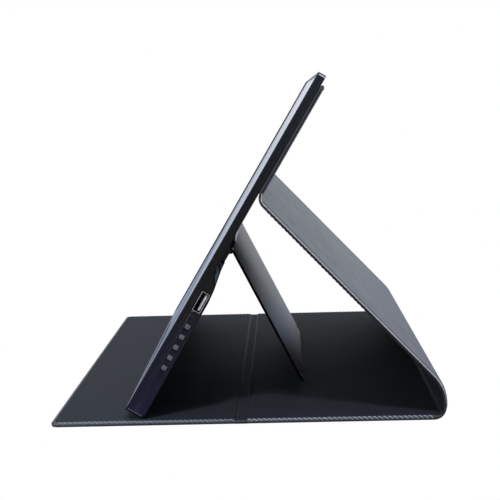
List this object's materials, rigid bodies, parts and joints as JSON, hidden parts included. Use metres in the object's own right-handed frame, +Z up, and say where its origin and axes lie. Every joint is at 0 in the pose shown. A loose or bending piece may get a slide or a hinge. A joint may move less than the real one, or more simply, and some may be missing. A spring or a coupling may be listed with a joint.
{
  "type": "portable monitor with cover",
  "caption": "Thin portable monitor stood up by its kickstand and the folded leather-look cover that is bonded to its back, with buttons and a socket on its side.",
  "frame": {"origin": "middle of the footprint, on the surface that the cover lies on", "axes": "+Z up, -Y the way the screen faces, +X the side with the buttons and the socket"},
  "size_m": [0.382, 0.2445, 0.2127],
  "materials": {
    "outer_leather": "fine grain, slight sheen",
    "lining": "fine cross grain, matte",
    "board": "pressed fibre board",
    "bond_film": "clear adhesive film",
    "front_glass": "glossy",
    "bezel": "glossy black",
    "lcd": "dark, switched off",
    "films": "white sheet",
    "tray_steel": "thin pressed sheet",
    "casing": "fine satin, dark navy",
    "circuit": "solder mask",
    "chips": "moulded package",
    "ribbon": "flat flexible cable",
    "steel_screws": "plain",
    "switches": "moulded",
    "buttons": "satin",
    "light_lens": "clear lens",
    "socket_steel": "bright plating",
    "kick_metal": "dark satin coat",
    "pads": "soft"
  },
  "bodies": {
    "base": {"base_leather": "outer_leather", "base_board": "board", "base_lining": "lining", "fold_strip": "lining", "rear_crease": "outer_leather"},
    "front_flap": {"front_leather": "outer_leather", "front_board": "board", "front_lining": "lining"},
    "spine": {"spine_leather": "outer_leather", "spine_board": "board", "spine_lining": "lining", "spine_bend": "outer_leather"},
    "back_panel": {"back_leather": "outer_leather", "back_board": "board", "back_lining": "lining", "top_fold": "outer_leather"},
    "monitor": {"flap_leather": "outer_leather", "flap_board": "board", "flap_bond": "bond_film", "front_glass": "front_glass", "bezel_frame": "bezel", "display_cell": "lcd", "diffuser_films": "films", "light_guide": "films", "reflector_sheet": "films", "light_strip": "circuit", "display_tray": "tray_steel", "rear_case": "casing", "lower_housing": "casing", "case_screws": "steel_screws", "main_board": "circuit", "board_chips": "chips", "board_screws": "steel_screws", "usb_board": "circuit", "link_cable": "ribbon", "panel_cable": "ribbon", "button_board": "circuit", "button_cable": "ribbon", "button_switches": "switches", "status_light": "light_lens", "usb_shell": "socket_steel", "usb_tongue": "switches", "video_socket": "socket_steel", "power_socket": "socket_steel", "hinge_block": "casing", "hinge_pins": "steel_screws"},
    "kickstand": {"kickstand_plate": "kick_metal", "kickstand_pads": "pads"},
    "key_1": {"button_1": "buttons"},
    "key_2": {"button_2": "buttons"},
    "key_3": {"button_3": "buttons"},
    "key_4": {"button_4": "buttons"},
    "key_5": {"button_5": "buttons"}
  },
  "joints": [
    {"name": "front_fold", "type": "hinge", "parent": "base", "child": "front_flap", "pos_m": [0, -0.0047, 0], "axis": [1, 0, 0], "range_deg": [0, 175], "deforming": ["fold_strip"]},
    {"name": "spine_fold", "type": "hinge", "parent": "base", "child": "spine", "pos_m": [0, 0.11914, 0.00311], "axis": [-1, 0, 0], "range_deg": [0, 90], "deforming": ["rear_crease"]},
    {"name": "back_fold", "type": "hinge", "parent": "spine", "child": "back_panel", "pos_m": [0, 0.11888, 0.01876], "axis": [-1, 0, 0], "range_deg": [0, 43.39], "deforming": ["spine_bend"]},
    {"name": "monitor_fold", "type": "hinge", "parent": "back_panel", "child": "monitor", "pos_m": [0, 0.01398, 0.13248], "axis": [1, 0, 0], "range_deg": [0, 72.5], "deforming": ["top_fold"]},
    {"name": "kickstand_hinge", "type": "hinge", "parent": "monitor", "child": "kickstand", "pos_m": [0, -0.01214, 0.09578], "axis": [-1, 0, 0], "range_deg": [0, 57.71]},
    {"name": "button_1_press", "type": "slide", "parent": "monitor", "child": "key_1", "axis": [-1, 0, 0], "range_m": [0, 0.0004], "stiffness_N_per_m": 800},
    {"name": "button_2_press", "type": "slide", "parent": "monitor", "child": "key_2", "axis": [-1, 0, 0], "range_m": [0, 0.0004], "stiffness_N_per_m": 800},
    {"name": "button_3_press", "type": "slide", "parent": "monitor", "child": "key_3", "axis": [-1, 0, 0], "range_m": [0, 0.0004], "stiffness_N_per_m": 800},
    {"name": "button_4_press", "type": "slide", "parent": "monitor", "child": "key_4", "axis": [-1, 0, 0], "range_m": [0, 0.0004], "stiffness_N_per_m": 800},
    {"name": "button_5_press", "type": "slide", "parent": "monitor", "child": "key_5", "axis": [-1, 0, 0], "range_m": [0, 0.0004], "stiffness_N_per_m": 800}
  ],
  "couplings": [
    {"joint": "back_fold", "follows": "spine_fold", "ratio": 0.48201},
    {"joint": "monitor_fold", "follows": "spine_fold", "ratio": 0.80555},
    {"joint": "kickstand_hinge", "follows": "spine_fold", "ratio": 0.64122}
  ]
}
